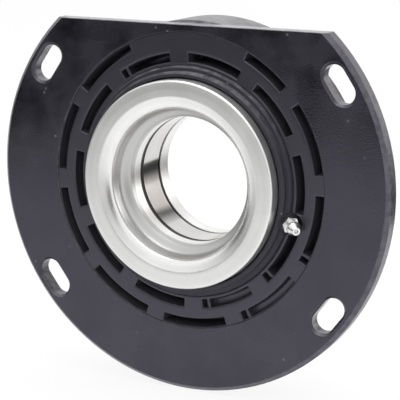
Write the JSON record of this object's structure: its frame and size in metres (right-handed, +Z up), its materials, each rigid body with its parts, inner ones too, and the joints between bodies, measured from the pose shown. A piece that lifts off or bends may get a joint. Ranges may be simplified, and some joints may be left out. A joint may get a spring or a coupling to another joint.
{
  "type": "driveshaft centre bearing",
  "caption": "Driveshaft centre support: ball bearing with slingers in a slotted rubber cushion, held by a D-shaped bolt-on flange with a grease nipple.",
  "frame": {"origin": "on the shaft axis, in the plane of the flange's rear seating face", "axes": "+Y along the shaft, from the nipple side to the barrel side; +Z up, towards the flat; +X to the nipple's side"},
  "size_m": [0.2, 0.054, 0.174],
  "materials": {
    "housing_paint": "satin",
    "carrier_paint": "satin",
    "rubber": "matte",
    "seal_rubber": "matte",
    "slinger_zinc": "satin",
    "nipple_zinc": "bright",
    "polished_steel": "polished",
    "bearing_steel": "ground",
    "spring_steel": "plain",
    "cage_brass": "machined"
  },
  "bodies": {
    "housing": {"flange_housing": "housing_paint", "rubber_cushion": "rubber", "bearing_carrier": "carrier_paint", "snap_ring": "spring_steel", "outer_race": "bearing_steel", "front_seal_case": "spring_steel", "front_seal_lip": "seal_rubber", "rear_seal_case": "spring_steel", "rear_seal_lip": "seal_rubber", "nipple_body": "nipple_zinc", "nipple_spring": "spring_steel"},
    "inner_ring": {"inner_race": "polished_steel", "front_slinger": "slinger_zinc", "rear_slinger": "slinger_zinc"},
    "cage": {"cage_front": "cage_brass", "cage_rear": "cage_brass", "cage_rivets": "spring_steel"},
    "check_valve": {"check_ball": "polished_steel"},
    "ball_01": {"ball_01": "polished_steel"},
    "ball_02": {"ball_02": "polished_steel"},
    "ball_03": {"ball_03": "polished_steel"},
    "ball_04": {"ball_04": "polished_steel"},
    "ball_05": {"ball_05": "polished_steel"},
    "ball_06": {"ball_06": "polished_steel"},
    "ball_07": {"ball_07": "polished_steel"},
    "ball_08": {"ball_08": "polished_steel"},
    "ball_09": {"ball_09": "polished_steel"},
    "ball_10": {"ball_10": "polished_steel"},
    "ball_11": {"ball_11": "polished_steel"},
    "ball_12": {"ball_12": "polished_steel"},
    "ball_13": {"ball_13": "polished_steel"}
  },
  "joints": [
    {"name": "shaft_spin", "type": "hinge", "parent": "housing", "child": "inner_ring", "pos_m": [0, 0.0136, 0], "axis": [0, 1, 0], "continuous": true},
    {"name": "cage_orbit", "type": "hinge", "parent": "housing", "child": "cage", "pos_m": [0, 0.0136, 0], "axis": [0, 1, 0], "continuous": true},
    {"name": "ball_01_roll", "type": "hinge", "parent": "cage", "child": "ball_01", "pos_m": [0, 0.0136, 0.03875], "axis": [0, 1, 0], "continuous": true},
    {"name": "ball_02_roll", "type": "hinge", "parent": "cage", "child": "ball_02", "pos_m": [-0.01801, 0.0136, 0.03431], "axis": [0, 1, 0], "continuous": true},
    {"name": "ball_03_roll", "type": "hinge", "parent": "cage", "child": "ball_03", "pos_m": [-0.03189, 0.0136, 0.02201], "axis": [0, 1, 0], "continuous": true},
    {"name": "ball_04_roll", "type": "hinge", "parent": "cage", "child": "ball_04", "pos_m": [-0.03847, 0.0136, 0.00467], "axis": [0, 1, 0], "continuous": true},
    {"name": "ball_05_roll", "type": "hinge", "parent": "cage", "child": "ball_05", "pos_m": [-0.03623, 0.0136, -0.01374], "axis": [0, 1, 0], "continuous": true},
    {"name": "ball_06_roll", "type": "hinge", "parent": "cage", "child": "ball_06", "pos_m": [-0.0257, 0.0136, -0.029], "axis": [0, 1, 0], "continuous": true},
    {"name": "ball_07_roll", "type": "hinge", "parent": "cage", "child": "ball_07", "pos_m": [-0.00927, 0.0136, -0.03762], "axis": [0, 1, 0], "continuous": true},
    {"name": "ball_08_roll", "type": "hinge", "parent": "cage", "child": "ball_08", "pos_m": [0.00927, 0.0136, -0.03762], "axis": [0, 1, 0], "continuous": true},
    {"name": "ball_09_roll", "type": "hinge", "parent": "cage", "child": "ball_09", "pos_m": [0.0257, 0.0136, -0.029], "axis": [0, 1, 0], "continuous": true},
    {"name": "ball_10_roll", "type": "hinge", "parent": "cage", "child": "ball_10", "pos_m": [0.03623, 0.0136, -0.01374], "axis": [0, 1, 0], "continuous": true},
    {"name": "ball_11_roll", "type": "hinge", "parent": "cage", "child": "ball_11", "pos_m": [0.03847, 0.0136, 0.00467], "axis": [0, 1, 0], "continuous": true},
    {"name": "ball_12_roll", "type": "hinge", "parent": "cage", "child": "ball_12", "pos_m": [0.03189, 0.0136, 0.02201], "axis": [0, 1, 0], "continuous": true},
    {"name": "ball_13_roll", "type": "hinge", "parent": "cage", "child": "ball_13", "pos_m": [0.01801, 0.0136, 0.03431], "axis": [0, 1, 0], "continuous": true},
    {"name": "check_ball_lift", "type": "slide", "parent": "housing", "child": "check_valve", "axis": [-0.6846, 0.7071, 0.177], "range_m": [0, 0.0008], "stiffness_N_per_m": 600, "deforming": ["nipple_spring"]}
  ],
  "couplings": [
    {"joint": "cage_orbit", "follows": "shaft_spin", "ratio": 0.42831},
    {"joint": "ball_01_roll", "follows": "shaft_spin", "ratio": -3.4155},
    {"joint": "ball_02_roll", "follows": "shaft_spin", "ratio": -3.4155},
    {"joint": "ball_03_roll", "follows": "shaft_spin", "ratio": -3.4155},
    {"joint": "ball_04_roll", "follows": "shaft_spin", "ratio": -3.4155},
    {"joint": "ball_05_roll", "follows": "shaft_spin", "ratio": -3.4155},
    {"joint": "ball_06_roll", "follows": "shaft_spin", "ratio": -3.4155},
    {"joint": "ball_07_roll", "follows": "shaft_spin", "ratio": -3.4155},
    {"joint": "ball_08_roll", "follows": "shaft_spin", "ratio": -3.4155},
    {"joint": "ball_09_roll", "follows": "shaft_spin", "ratio": -3.4155},
    {"joint": "ball_10_roll", "follows": "shaft_spin", "ratio": -3.4155},
    {"joint": "ball_11_roll", "follows": "shaft_spin", "ratio": -3.4155},
    {"joint": "ball_12_roll", "follows": "shaft_spin", "ratio": -3.4155},
    {"joint": "ball_13_roll", "follows": "shaft_spin", "ratio": -3.4155}
  ]
}
